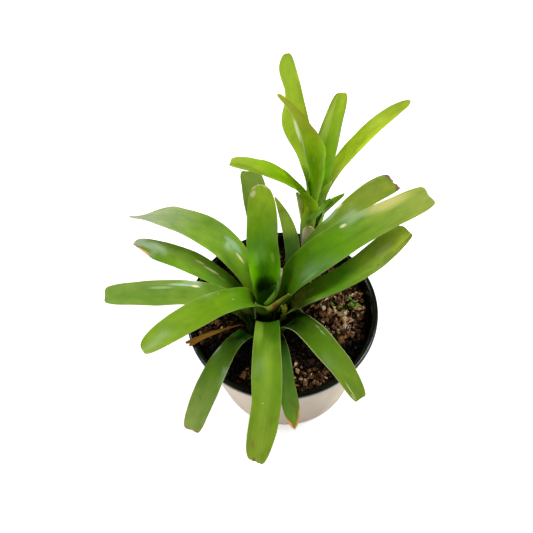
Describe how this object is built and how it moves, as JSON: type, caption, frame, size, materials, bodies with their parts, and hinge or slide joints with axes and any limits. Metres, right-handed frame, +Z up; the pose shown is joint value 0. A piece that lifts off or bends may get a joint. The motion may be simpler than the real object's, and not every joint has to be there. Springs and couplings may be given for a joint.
{
  "type": "potted bromeliad",
  "caption": "Strap-leaved bromeliad rosette with a young offset beside it, growing in a bark potting mix in a round tapered plastic nursery pot.",
  "frame": {"origin": "centre of the pot's flat underside", "axes": "+Z up along the pot's axis; -Y towards the leaf that arches over the front of the pot; the offset stands on the +Y side"},
  "size_m": [0.1939, 0.2059, 0.2288],
  "materials": {
    "pot_plastic": "thin moulded plastic, taupe outside, glossy black rolled rim and inside",
    "bark_mix": "coarse dark bark chips and fibre, damp",
    "leaf": "waxy satin green with fine lengthwise lines",
    "offset_leaf": "waxy satin yellow-green",
    "stem": "grey-green, matt",
    "bract": "pale olive to pinkish brown, satin",
    "dry_leaf": "dry orange-brown, matt",
    "seedling": "soft bright green"
  },
  "bodies": {
    "root": {"pot": "pot_plastic", "potting_mix": "bark_mix", "stem": "stem", "offset_stem": "stem", "leaf_young": "leaf", "leaf_centre": "leaf", "leaf_left_upper": "leaf", "leaf_right_large": "leaf", "leaf_back_left": "leaf", "leaf_right_lower": "leaf", "leaf_front": "leaf", "leaf_left": "leaf", "leaf_right_back": "leaf", "leaf_front_right": "leaf", "leaf_left_back": "leaf", "leaf_back": "leaf", "leaf_back_small": "leaf", "leaf_front_small": "leaf", "leaf_front_left": "leaf", "leaf_dry": "dry_leaf", "offset_leaf_front": "offset_leaf", "offset_leaf_tall": "offset_leaf", "offset_leaf_back": "offset_leaf", "offset_leaf_right": "offset_leaf", "offset_leaf_left": "offset_leaf", "offset_leaf_small": "offset_leaf", "offset_bract_left": "bract", "offset_bract_front": "bract", "seedling_right": "seedling", "seedling_middle": "seedling", "seedling_left": "seedling", "seedling_small": "seedling"}
  },
  "joints": []
}
